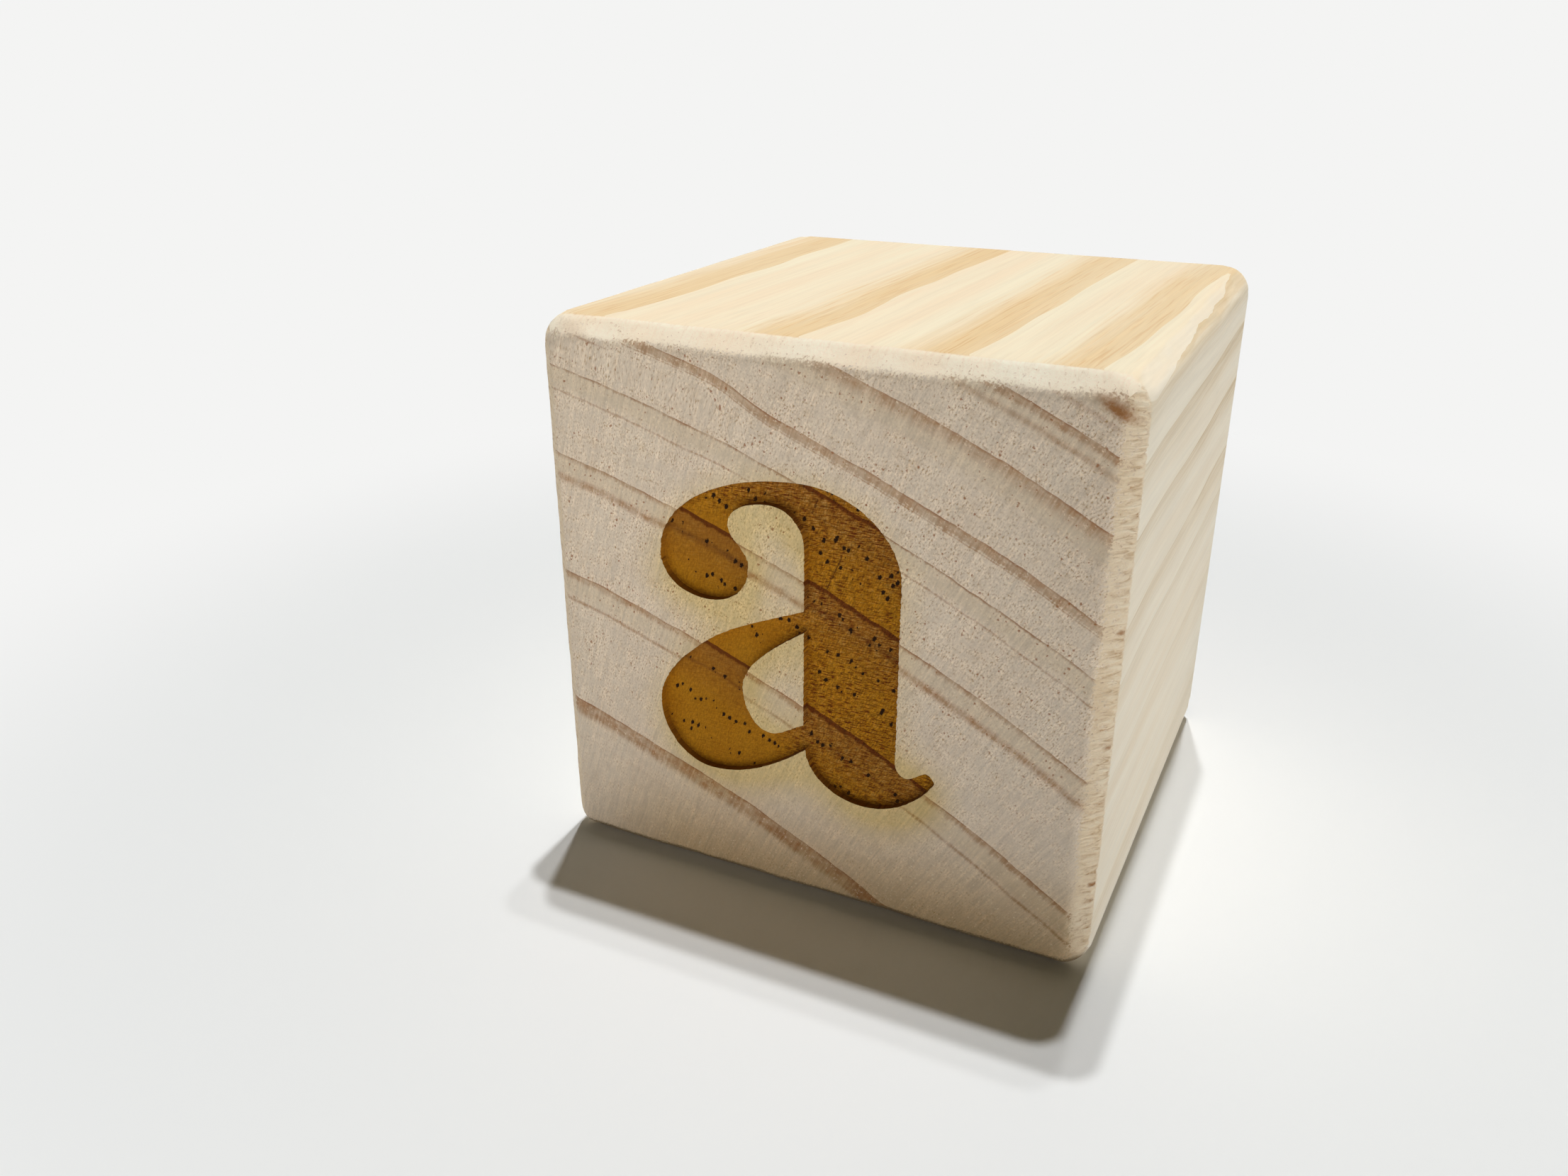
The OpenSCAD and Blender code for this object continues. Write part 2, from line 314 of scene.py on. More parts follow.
def end_grain(tree, rings, x, z, clouds):
    """End grain: cream and gritty where it grew in spring, grey and smooth below a year's
    end, with a reddish tan summer band and a thin line at the end itself. Gives its colour
    and its grit."""
    smooth = rings.outputs["Smooth"]
    end_light = add(tree, MIX, clouds, "#e8d5c0", "#eedfcc", **COLOUR)
    end_smooth = add(tree, MIX, clouds, "#decbb3", "#e6d5bd", **COLOUR)
    end_light = add(tree, MIX, smooth, end_light, end_smooth, **COLOUR)
    end_band = add(tree, MIX, clouds, "#b5855a", "#a9784f", **COLOUR)
    late = add(tree, MATH, rings.outputs["Summer"], rings.outputs["False ring"],
               operation="MAXIMUM")
    colour = add(tree, MIX, late, end_light, end_band, **COLOUR)
    line = add(tree, MATH, rings.outputs["Edge line"], 0.75, operation="MULTIPLY")
    colour = add(tree, MIX, line, colour, "#99633c", **COLOUR)
    # Grit: grains 0.14 mm wide and 0.25 mm long, with painted highlight on top and painted
    # shade in tan in the hollows, and silky fibres that line up from the heart to the bark.
    # The saw left the lower part smoother than the upper.
    grit = add(tree, NOISE, in_wood(tree, rings, 0.14, 1.0, 0.25), *ROUGH)
    fibres = add(tree, NOISE, in_wood(tree, rings, 0.25, 2.0, 2.2), *ROUGH)
    drifts = add(tree, NOISE, in_wood(tree, rings, 2.2, 30.0, 1.2), *ROUGH)
    rough = add(tree, RANGE, smooth, 0.0, 1.0, 1.0, 0.6)
    upper = add(tree, RANGE, z, 8.0, 22.0, 0.6, 1.0, **SOFT)
    rough_drifts = add(tree, RANGE, drifts, 0.35, 0.6, 0.6, 1.15)
    rough = add(tree, MATH, rough, rough_drifts, operation="MULTIPLY")
    rough = add(tree, MATH, rough, upper, operation="MULTIPLY")
    grit_tone = add(tree, MATH, grit, 0.5, operation="SUBTRACT")
    grit_tone = add(tree, MATH, grit_tone, rough, operation="MULTIPLY")
    clumps = add(tree, NOISE, in_wood(tree, rings, 0.5, 3.0, 0.9), *ROUGH)
    clumps = add(tree, RANGE, clumps, 0.52, 0.72, 0.0, 0.28)
    clumps = add(tree, MATH, clumps, rough, operation="MULTIPLY")
    colour = add(tree, MIX, clumps, colour, "#c2a57f", **COLOUR)
    # Painted shade in the grains' hollows and painted highlight on their tops
    grit_hollow_shade = add(tree, RANGE, grit_tone, -0.04, -0.2, 0.0, 0.85)
    colour = add(tree, MIX, grit_hollow_shade, colour, "#b58c55", **COLOUR)
    grit_crest_highlight = add(tree, RANGE, grit_tone, 0.0, 0.18, 1.0, 1.22)
    tone = add(tree, RANGE, fibres, 0.3, 0.7, 0.9, 1.06)
    tone = add(tree, MATH, tone, grit_crest_highlight, operation="MULTIPLY")
    drift_tone = add(tree, RANGE, drifts, 0.3, 0.7, 0.95, 1.04)
    tone = add(tree, MATH, tone, drift_tone, operation="MULTIPLY")
    ray_tone = add(tree, RANGE, rings.outputs["Rays"], 0.35, 0.65, 0.96, 1.03)
    tone = add(tree, MATH, tone, ray_tone, operation="MULTIPLY")
    colour = add(tree, VECTOR, colour, tone, operation="SCALE")
    # Rusty pits, 0.1 to 0.25 mm wide, in drifts
    way, _, lot = pores(tree, rings.outputs["Around"], rings.outputs["Radius"], cell_mm=0.55,
                        stretch=1.2)
    size = add(tree, RANGE, lot, 0.3, 1.0, 0.0, 0.14)
    pitted = add(tree, RANGE, drifts, 0.4, 0.62, 0.1, 1.0)
    size = add(tree, MATH, size, pitted, operation="MULTIPLY")
    hollow = add(tree, MATH, size, way, operation="SUBTRACT")
    pits = add(tree, RANGE, hollow, 0.0, 0.05, 0.0, 0.8)
    high_up = add(tree, RANGE, upper, 0.6, 1.0, 0.0, 1.0)
    pits = add(tree, MATH, pits, high_up, operation="MULTIPLY")
    colour = add(tree, MIX, pits, colour, "#a3663c", **COLOUR)
    # Painted shade: the lowest part, which the block's shadow on the floor in front leaves dim, is
    # browner, less so at the far left
    painted_base_shade = add(tree, RANGE, z, 13.0, 1.0, 0.0, 1.0, **SOFT)
    rightwards = add(tree, RANGE, x, -23.0, -11.0, 0.1, 1.0, **SOFT)
    painted_base_shade = add(tree, MATH, painted_base_shade, rightwards, operation="MULTIPLY")
    base_shade_colour = add(tree, MIX, 1.0, colour, "#ebdec4", blend_type="MULTIPLY", **COLOUR)
    return add(tree, MIX, painted_base_shade, colour, base_shade_colour, **COLOUR), grit_tone


def long_grain(tree, rings, side, z, clouds):
    """Long grain: cream wood with flat amber bands, and streaks 0.1 mm wide. Gives its
    colour and its streaks."""
    streaks = add(tree, NOISE, in_wood(tree, rings, 0.3, 22.0, 0.3), 1.0, 3.0, 0.6)
    broad = add(tree, NOISE, in_wood(tree, rings, 2.6, 60.0, 2.6), *CLOUDY)
    broad = add(tree, RANGE, broad, 0.35, 0.65, 0.0, 1.0)
    cream = add(tree, MIX, broad, "#ffe9c8", "#fff0d1", **COLOUR)
    amber_share = add(tree, RANGE, broad, 0.0, 1.0, 1.0, 0.7)
    amber = add(tree, MATH, rings.outputs["Amber"], amber_share, operation="MULTIPLY")
    top_wood = add(tree, MIX, amber, cream, "#f3d3a2", **COLOUR)
    # Short amber fibres, 0.15 mm thin and 8 mm long, most of them in the bands
    short = add(tree, NOISE, in_wood(tree, rings, 0.16, 8.0, 0.16), *CALM)
    short = add(tree, RANGE, short, 0.54, 0.7, 0.0, 0.55)
    in_band = add(tree, RANGE, amber, 0.0, 1.0, 0.12, 1.0)
    short = add(tree, MATH, short, in_band, operation="MULTIPLY")
    top_wood = add(tree, MIX, short, top_wood, "#e3b47c", **COLOUR)
    # On the sides, cut more squarely, the bands break up into thin streaks. The sides' paler
    # ground and greyer bands are painted cool side light.
    pale = add(tree, MIX, broad, "#fbedd6", "#fef4e1", **COLOUR)
    fading = add(tree, RANGE, rings.outputs["To year end"], 0.0, 2.8, 0.85, 0.0, **SOFT)
    side_streaks = add(tree, NOISE, in_wood(tree, rings, 0.5, 16.0, 0.22), *ROUGH)
    broken = add(tree, RANGE, side_streaks, 0.35, 0.65, 0.4, 1.1)
    fading = add(tree, MATH, fading, broken, operation="MULTIPLY")
    cloudy = add(tree, RANGE, clouds, 0.35, 0.65, 0.6, 1.1)
    fading = add(tree, MATH, fading, cloudy, operation="MULTIPLY")
    thin_line = add(tree, MATH, rings.outputs["Edge line"], 0.25, fading, operation="MULTIPLY_ADD")
    high_up = add(tree, RANGE, z, 22.0, 38.0, 0.3, 1.0)
    thin_line = add(tree, MATH, thin_line, high_up, operation="MULTIPLY")
    side_wood = add(tree, MIX, thin_line, pale, "#dcc49c", **COLOUR)
    on_side = add(tree, RANGE, side, 0.5, 0.85, 0.0, 1.0, **SOFT)
    colour = add(tree, MIX, on_side, top_wood, side_wood, **COLOUR)
    streak_tone = add(tree, RANGE, streaks, 0.3, 0.7, 0.95, 1.03)
    return add(tree, VECTOR, colour, streak_tone, operation="SCALE"), streaks


def torn_bevel(tree, rings, place, y, along_edge, upright):
    """A bevel across the grain: torn fibre ends, pale and warm, and paler on a level bevel
    than on an upright one, which is painted light. Towards the long grain it has nicks 0.3 mm
    wide that run square to the edge, with painted shade in them and painted highlight
    between them, and the deep ones are rusty. Gives its colour, and how far fibres and
    nicks differ from their mean. The nicks are fainter on a level bevel."""
    nick_spot = add(
        tree, JOIN,
        add(tree, MATH, along_edge, 0.42, operation="DIVIDE"),
        add(tree, MATH, y, 1.1, operation="DIVIDE"),
    )
    nicks = add(tree, NOISE, nick_spot, *ROUGH, 2.0, 0.7)
    fray = add(tree, RANGE, upright, 0.0, 1.0, 0.2, 1.0)
    depth = add(tree, RANGE, y, FRONT + 0.2, FRONT + 1.1, 0.15, 1.0)
    depth = add(tree, MATH, depth, fray, operation="MULTIPLY")
    torn = add(tree, NOISE, in_wood(tree, rings, 0.22, 0.4, 0.22), *ROUGH)
    warm = add(tree, NOISE, in_wood(tree, rings, 6.0, 6.0, 6.0), *CALM)
    warm = add(tree, RANGE, warm, 0.35, 0.65, 0.0, 1.0)
    # Painted light: a level bevel is paler than an upright one
    pale_torn = add(tree, MIX, upright, "#fff4de", "#efdcc0", **COLOUR)
    warm_torn = add(tree, MIX, upright, "#ffebd0", "#ecd6b6", **COLOUR)
    colour = add(tree, MIX, warm, pale_torn, warm_torn, **COLOUR)
    torn_tone = add(tree, RANGE, torn, 0.3, 0.65, 0.98, 1.07)
    colour = add(tree, VECTOR, colour, torn_tone, operation="SCALE")
    # Painted shade in the nicks and painted highlight between them
    nick_shade = add(tree, RANGE, nicks, 0.5, 0.36, 0.0, 0.5)
    nick_shade = add(tree, MATH, nick_shade, depth, operation="MULTIPLY")
    colour = add(tree, MIX, nick_shade, colour, "#b68d58", **COLOUR)
    nick_highlight = add(tree, RANGE, nicks, 0.52, 0.66, 0.0, 0.6)
    nick_highlight = add(tree, MATH, nick_highlight, depth, operation="MULTIPLY")
    colour = add(tree, MIX, nick_highlight, colour, "#fdf0d8", **COLOUR)
    rust = add(tree, MATH, torn, nicks, operation="ADD")
    rust = add(tree, RANGE, rust, 0.76, 0.66, 0.0, 0.8)
    rust_share = add(tree, RANGE, depth, 0.1, 0.8, 0.15, 1.0)
    rust = add(tree, MATH, rust, rust_share, operation="MULTIPLY")
    colour = add(tree, MIX, rust, colour, "#b98252", **COLOUR)

    # Painted shade: the bevels that face down, where the block meets the floor, are darker
    true_level = add(tree, SPLIT, place.outputs["Normal"]).outputs[2]
    painted_contact_shade = add(tree, RANGE, true_level, -0.1, -0.5, 0.0, 0.9)
    colour = add(tree, MIX, painted_contact_shade, colour, "#7d6746", **COLOUR)
    fuzz = add(tree, MATH, torn, 0.5, operation="SUBTRACT")
    level_nicks = add(tree, MATH, nicks, 0.5, operation="SUBTRACT")
    level_nicks = add(tree, MATH, level_nicks, fray, operation="MULTIPLY")
    return colour, fuzz, level_nicks


def resin_spots(tree, x, y, z, fuzz):
    """Brown spots of resin that stayed in the front's edges."""
    resin = None
    for (spot_x, spot_z), (half_wide, half_high), fall, strength in RESIN_SPOTS:
        off_x = add(tree, MATH, x, spot_x, operation="SUBTRACT")
        off_z = add(tree, MATH, z, spot_z, operation="SUBTRACT")
        off_z = add(tree, MATH, off_x, fall, off_z, operation="MULTIPLY_ADD")
        off = add(tree, JOIN, off_x, off_z, 0.0)
        off = add(tree, VECTOR, off, (half_wide, half_high, 1.0), operation="DIVIDE")
        off = add(tree, VECTOR, off, operation="LENGTH").outputs["Value"]
        off = add(tree, MATH, fuzz, 1.2, off, operation="MULTIPLY_ADD")
        spot = add(tree, RANGE, off, 0.1, 1.3, strength, 0.0, **SOFT)
        resin = spot if resin is None else add(tree, MATH, resin, spot, operation="MAXIMUM")
    at_front = add(tree, MATH, y, FRONT + 1.6, operation="LESS_THAN")
    return add(tree, MATH, resin, at_front, operation="MULTIPLY")


# Pine, planed on the long grain, sawn on the end grain, and sanded by hand. Bare wood
# is matt and takes the light unevenly: the end grain is gritty where the wood grew in
# spring, the long grain is smooth with amber bands, and across the grain it is torn.
def sanded_pine(ring_group):
    material, tree = empty_material("sanded bare pine")
    rings = add(tree, "ShaderNodeGroup", node_tree=ring_group)
    place, x, y, z = block_place(tree)
    facing = add(tree, VECTOR, place.outputs["Normal"], operation="ABSOLUTE")
    side, end_on, level = add(tree, SPLIT, facing).outputs
    upright = add(tree, MATH, side, level, operation="GREATER_THAN")
    along_edge = add(tree, MIX, upright, x, z, data_type="FLOAT")
    clouds = add(tree, NOISE, in_wood(tree, rings, 5.0, 40.0, 8.0), *CLOUDY)
    end_colour, grit_tone = end_grain(tree, rings, x, z, clouds)
    long_colour, streaks = long_grain(tree, rings, side, z, clouds)
    torn_colour, fuzz, nicks = torn_bevel(tree, rings, place, y, along_edge, upright)

    # The faces meet the bevels in a frayed line
    frayed = add(tree, MATH, fuzz, 0.8, end_on, operation="MULTIPLY_ADD")
    end_mask = add(tree, RANGE, frayed, 0.72, 0.94, 0.0, 1.0, **SOFT)
    nicked = add(tree, MATH, nicks, 0.9, end_on, operation="MULTIPLY_ADD")
    torn_mask = add(tree, RANGE, nicked, 0.2, 0.42, 0.0, 1.0, **SOFT)
    colour = add(tree, MIX, torn_mask, long_colour, torn_colour, **COLOUR)
    colour = add(tree, MIX, end_mask, colour, end_colour, **COLOUR)
    resin = resin_spots(tree, x, y, z, fuzz)
    colour = add(tree, MIX, resin, colour, "#a06a38", **COLOUR)
    # Smoke from the burning leaves a yellow stain round the letter, most of it below
    smoke = add(tree, "ShaderNodeAttribute", attribute_name="smoke")
    stained = add(tree, MIX, 1.0, colour, "#f5ebbf", blend_type="MULTIPLY", **COLOUR)
    colour = add(tree, MIX, smoke.outputs["Fac"], colour, stained, **COLOUR)

    # The relief is finest on the long grain and coarsest in the nicks
    grit_height = add(tree, MATH, grit_tone, 0.03 * MM, operation="MULTIPLY")
    torn_height = add(tree, MATH, nicks, 0.15 * MM, operation="MULTIPLY")
    torn_height = add(tree, MATH, fuzz, 0.02 * MM, torn_height, operation="MULTIPLY_ADD")
    streak_height = add(tree, MATH, streaks, 0.01 * MM, operation="MULTIPLY")
    height = add(tree, MIX, torn_mask, streak_height, torn_height, data_type="FLOAT")
    height = add(tree, MIX, end_mask, height, grit_height, data_type="FLOAT")
    relief = add(tree, BUMP, {"Height": height, "Distance": 1.0, "Strength": 1.0})
    shader = add(tree, "ShaderNodeBsdfPrincipled", {
        "Base Color": colour, "Roughness": 0.75, "IOR": 1.5, "Specular IOR Level": 0.3,
        "Normal": relief,
    })
    add(tree, "ShaderNodeOutputMaterial", {"Surface": shader})
    return material


def drying_cracks(tree, rings, fibres):
    """Cracks 0.12 mm wide at most that run out from the heart across a few rings."""
    crack = None
    wander = add(tree, MATH, fibres, 0.3, -0.15, operation="MULTIPLY_ADD")
    for crack_around, inner, outer in ((64.2, 157.6, 161.0), (60.6, 163.0, 164.4)):
        off = add(tree, MATH, rings.outputs["Around"], crack_around, operation="SUBTRACT")
        off = add(tree, MATH, off, wander, operation="ADD")
        line = add(tree, MATH, off, 0.0, 0.06, operation="COMPARE")
        past = add(tree, MATH, rings.outputs["Radius"], inner, operation="GREATER_THAN")
        before = add(tree, MATH, rings.outputs["Radius"], outer, operation="LESS_THAN")
        between = add(tree, MATH, past, before, operation="MULTIPLY")
        line = add(tree, MATH, line, between, operation="MULTIPLY")
        crack = line if crack is None else add(tree, MATH, crack, line, operation="MAXIMUM")
    return crack


# Pine scorched by a laser that went over it in level lines. The spring wood burns to a
# clear gold, the denser summer wood to a grey brown, and the resin canals char black.
def scorched_pine(ring_group):
    material, tree = empty_material("laser scorched pine")
    rings = add(tree, "ShaderNodeGroup", node_tree=ring_group)
    to_end = rings.outputs["To year end"]
    place, x, _, z = block_place(tree)

    # The stem and the arch took the hottest passes and are the most streaky
    on_stem = add(tree, RANGE, x, -3.5, -0.5, 0.25, 1.0)
    on_arch = add(tree, RANGE, z, 34.0, 37.5, 0.25, 1.0)
    busy = add(tree, MATH, on_stem, on_arch, operation="MAXIMUM")
    clouds = add(tree, NOISE, in_wood(tree, rings, 3.0, 20.0, 3.0), *CLOUDY)
    gold = add(tree, MIX, clouds, "#ab6e0c", "#bb821c", **COLOUR)
    brown = add(tree, MIX, clouds, "#985f1a", "#a6712a", **COLOUR)
    dense = add(tree, RANGE, to_end, 0.8, 5.5, 1.0, 0.0)
    colour = add(tree, MIX, dense, gold, brown, **COLOUR)
    colour = add(tree, MIX, rings.outputs["False ring"], colour, "#774a1a", **COLOUR)
    line_wobble = add(tree, NOISE, in_wood(tree, rings, 0.8, 20.0, 0.8), *ROUGH)
    line_end = add(tree, RANGE, line_wobble, 0.35, 0.65, 0.4, 0.6)
    line_middle = add(tree, MATH, line_end, 0.2, operation="SUBTRACT")
    year_line = add(tree, RANGE, to_end, line_middle, line_end, 0.85, 0.0)

    # Scan lines: dashes 0.5 to 1 mm long and thinner than the laser's spacing
    dash_spot = add(
        tree, JOIN,
        add(tree, MATH, x, 0.8, operation="DIVIDE"),
        add(tree, MATH, z, 0.75 * SCAN_PITCH / MM, operation="DIVIDE"),
    )
    dashes = add(tree, NOISE, dash_spot, 1.0, 2.0, 0.7)
    patches = add(tree, NOISE, in_wood(tree, rings, 5.0, 20.0, 2.5), *CALM)
    patches = add(tree, RANGE, patches, 0.35, 0.6, 0.65, 1.0)
    patches = add(tree, MATH, patches, busy, operation="MULTIPLY")
    dark_dash = add(tree, RANGE, dashes, 0.52, 0.59, 0.0, 0.95)
    dark_dash = add(tree, MATH, dark_dash, patches, operation="MULTIPLY")
    pale_dash = add(tree, RANGE, dashes, 0.46, 0.36, 0.0, 0.65)
    pale_share = add(tree, RANGE, dense, 0.0, 1.0, 0.35, 1.0)
    pale_dash = add(tree, MATH, pale_dash, pale_share, operation="MULTIPLY")
    pale_dash = add(tree, MATH, pale_dash, busy, operation="MULTIPLY")
    colour = add(tree, MIX, dark_dash, colour, "#5c2206", **COLOUR)
    colour = add(tree, MIX, pale_dash, colour, "#c29856", **COLOUR)
    colour = add(tree, MIX, year_line, colour, "#5e2906", **COLOUR)
    # Burnt fibre ends and rays in between: dark specks 0.15 mm wide and 0.5 mm long
    fibres = add(tree, NOISE, in_wood(tree, rings, 0.14, 2.0, 0.4), 1.0, 2.0, 0.65)
    fibre_tone = add(tree, RANGE, fibres, 0.3, 0.7, 0.5, 1.45)
    fibre_share = add(tree, RANGE, busy, 0.0, 1.0, 0.35, 1.0)
    fibre_tone = add(tree, MIX, fibre_share, 1.0, fibre_tone, data_type="FLOAT")
    colour = add(tree, VECTOR, colour, fibre_tone, operation="SCALE")

    crack = add(tree, MATH, drying_cracks(tree, rings, fibres), 0.7, operation="MULTIPLY")
    colour = add(tree, MIX, crack, colour, "#40220a", **COLOUR)
    # The walls of the recess show no canals, and those that face up are darker brown
    facing = add(tree, SPLIT, place.outputs["Normal"])
    wall = add(tree, RANGE, facing.outputs[1], -0.3, -0.7, 1.0, 0.0)
    off_wall = add(tree, MATH, 1.0, wall, operation="SUBTRACT")
    canals = add(tree, MATH, off_wall, rings.outputs["Canals"], operation="MULTIPLY")
    colour = add(tree, MIX, canals, colour, "#251304", **COLOUR)
    facing_up_dark = add(tree, RANGE, facing.outputs[2], 0.1, 0.7, 0.0, 0.7)
    colour = add(tree, MIX, facing_up_dark, colour, "#66390f", **COLOUR)

    # Every rim is a little darker, and the lower ones most
    rim_darkening = add(tree, "ShaderNodeAttribute", attribute_name="rim_darkening")
    by_rim = add(tree, MATH, rim_darkening.outputs["Fac"], 0.8, operation="MULTIPLY")
    colour = add(tree, MIX, by_rim, colour, "#54300b", **COLOUR)

    dash_height = add(tree, MATH, dashes, 0.05 * MM, operation="MULTIPLY")
    dash_height = add(tree, MATH, dash_height, patches, operation="MULTIPLY")
    height = add(tree, MATH, fibres, 0.04 * MM, dash_height, operation="MULTIPLY_ADD")
    relief = add(tree, BUMP, {"Height": height, "Distance": 1.0, "Strength": 1.0})
    shader = add(tree, "ShaderNodeBsdfPrincipled", {
        "Base Color": colour, "Roughness": 0.85, "IOR": 1.5, "Specular IOR Level": 0.12,
        "Normal": relief,
    })
    add(tree, "ShaderNodeOutputMaterial", {"Surface": shader})
    return material


# The block
# How far each bevel reaches in from the edge, and how far from its ridges they are rounded
BEVEL = 1.5 * MM
RIDGE = 0.42 * MM
# Each corner is rubbed down to a ball of this radius
CORNER_BALL = 2.5 * MM
# Spacing of the mesh's cuts across the front and along the depth
FRONT_PITCH = 0.45 * MM
DEPTH_PITCH = 0.9 * MM
# How far the ends of the laser's lines stray, how uneven the floor is that they leave,
# and the size of its dents
STRAY = 0.09 * MM
UNEVEN = 0.06 * MM
DENT = 2.5 * MM
# Depth of the wear on the bevels, and the sizes of its broad and its small marks
WEAR = 0.12 * MM
BROAD_WEAR = 5 * MM
SMALL_WEAR = 1.2 * MM
# Points nearer than this are one point, and edges that turn by more than this are sharp
SAME_POINT = 1e-6
SHARP = math.radians(32)


def sanded_blank():
    """The cube as planer, saw and sanding block leave it, without its letter."""
    bm = bmesh.new()
    bmesh.ops.create_cube(bm, size=1)
    bmesh.ops.scale(bm, vec=high - low, verts=bm.verts)
    bmesh.ops.translate(bm, vec=middle, verts=bm.verts)
    bmesh.ops.bevel(bm, geom=bm.edges[:], offset=BEVEL, offset_type="OFFSET", segments=1,
                    profile=0.5, affect="EDGES", material=-1)
    bmesh.ops.bevel(bm, geom=bm.edges[:], offset=RIDGE, offset_type="OFFSET", segments=3,
                    profile=0.5, affect="EDGES", material=-1)
    # Two cuts along each bevel, through the edges that cross it, then even cuts from side
    # to side, through the edges that run nearly the whole length
    crossing = [edge for edge in bm.edges if 0.7 * MM < edge.calc_length() < 2.5 * MM]
    bmesh.ops.subdivide_edges(bm, edges=crossing, cuts=2, use_grid_fill=True)
    for axis, pitch in ((0, FRONT_PITCH), (2, FRONT_PITCH), (1, DEPTH_PITCH)):
        length = (high - low)[axis]
        along = [
            edge for edge in bm.edges
            if abs(edge.verts[0].co[axis] - edge.verts[1].co[axis]) > 0.8 * length
        ]
        bmesh.ops.subdivide_edges(bm, edges=along, cuts=round(length / pitch) - 1,
                                  use_grid_fill=True)
    return bm


def letter_cutter():
    """What the laser took away, drawn up from the letter's flat floor in the CAD node."""
    bm = bmesh.new()
    bm.from_mesh(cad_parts["block"].data)
    bmesh.ops.remove_doubles(bm, verts=bm.verts, dist=SAME_POINT)
    # Only the letter's floor looks forward from behind the front
    others = [
        face for face in bm.faces
        if face.normal.y > -0.9 or face.calc_center_median().y < low.y + 0.1 * MM
    ]
    bmesh.ops.delete(bm, geom=others, context="FACES")
    floor_y = bm.verts[:][0].co.y
    for axis, pitch in ((2, SCAN_PITCH), (0, FRONT_PITCH)):
        places = [vert.co[axis] for vert in bm.verts]
        normal = Vector((0, 0, 0))
        normal[axis] = 1
        cut = min(places) + pitch / 2
        while cut < max(places):
            bmesh.ops.bisect_plane(bm, geom=bm.verts[:] + bm.edges[:] + bm.faces[:],
                                   dist=1e-7, plane_co=normal * cut, plane_no=normal)
            cut += pitch
    # Each scan line starts a little early or late, which leaves the rim ragged. The lines
    # lie 0.77 apart in the noise, so that each goes its own way, and it changes over 3 mm.
    for vert in bm.verts:
        if vert.is_boundary:
            row = round(vert.co.z / SCAN_PITCH)
            vert.co.x += STRAY * noise.noise(Vector((0.3, vert.co.x / MM / 3, row * 0.77)))
        vert.co.y += UNEVEN * noise.noise(vert.co / DENT)
    # The cutter ends as far before the front as the letter's floor lies behind it
    drawn = bmesh.ops.extrude_face_region(bm, geom=bm.faces[:], use_keep_orig=True)
    front = [item for item in drawn["geom"] if isinstance(item, bmesh.types.BMVert)]
    for vert in front:
        vert.co.y = 2 * low.y - floor_y
    bmesh.ops.recalc_face_normals(bm, faces=bm.faces)
    return bm


def as_object(name, bm):
    mesh = bpy.data.meshes.new(name)
    bm.to_mesh(mesh)
    bm.free()
    made = bpy.data.objects.new(name, mesh)
    bpy.context.scene.collection.objects.link(made)
    return made


def rub_down(vert):
    """Hand sanding leaves the bevels a little uneven and the corners round, always inwards."""
    # A face doesn't lean at all, and a bevel leans by 0.3, enough for the full wear
    lean = 1 - max(abs(part) for part in vert.normal)
    if lean > 0.02:
        worn = 0.5 + noise.noise(vert.co / BROAD_WEAR) + 0.5 * noise.noise(vert.co / SMALL_WEAR)
        vert.co -= vert.normal * (WEAR * min(1, lean * 5) * max(0, worn))
    from_middle = vert.co - middle
    core = (high - low) / 2 - Vector((CORNER_BALL,) * 3)
    past = Vector([abs(part) - limit for part, limit in zip(from_middle, core)])
    if min(past) > 0 and past.length > CORNER_BALL:
        kept = past * (CORNER_BALL / past.length)
        vert.co = middle + Vector([
            math.copysign(limit + part, whole)
            for limit, part, whole in zip(core, kept, from_middle)
        ])


def alphabet_block():
    blank = as_object("blank", sanded_blank())
    cutter = as_object("cutter", letter_cutter())
    burning = blank.modifiers.new("letter", "BOOLEAN")
    burning.operation = "DIFFERENCE"
    burning.solver = "EXACT"
    burning.object = cutter
    graph = bpy.context.evaluated_depsgraph_get()
    cut = bpy.data.meshes.new_from_object(blank.evaluated_get(graph))
    bm = bmesh.new()
    bm.from_mesh(cut)
    for spare in (blank, cutter):
        bpy.data.objects.remove(spare)
    bmesh.ops.remove_doubles(bm, verts=bm.verts, dist=SAME_POINT)

    # The letter's faces lie behind the front, well inside the bevels
    inset = 4 * MM
    for face in bm.faces:
        spot = face.calc_center_median()
        inside = all(low[i] + inset < spot[i] < high[i] - inset for i in (0, 2))
        face.material_index = int(inside and low.y + 0.01 * MM < spot.y < low.y + 2 * MM)
        face.smooth = True
    for edge in bm.edges:
        edge.smooth = edge.calc_face_angle(0) < SHARP
    for vert in bm.verts:
        if not any(face.material_index for face in vert.link_faces):
            rub_down(vert)
    return as_object("pine_block", bm)


# The darkening reaches this far in from a lower rim of the letter and from any other rim.
# The lower rims lie down and a little to the left of the burnt wood beside them.
LOWER_RIM_DARKENING = 0.6 * MM
RIM_DARKENING = 0.4 * MM
DOWN_LEFT = Vector((-0.2, 0, -0.98))
# How far the smoke drifts down and spreads, in mm, and the shares of the thickest smoke at
# which its stain starts and is full
SMOKE_FALL = 1.1
SMOKE_SPREAD = 2.0
STAIN_SHARES = (0.06, 0.56)
# The burning points are counted in this many cells across and up
FIRE_CELLS = 100


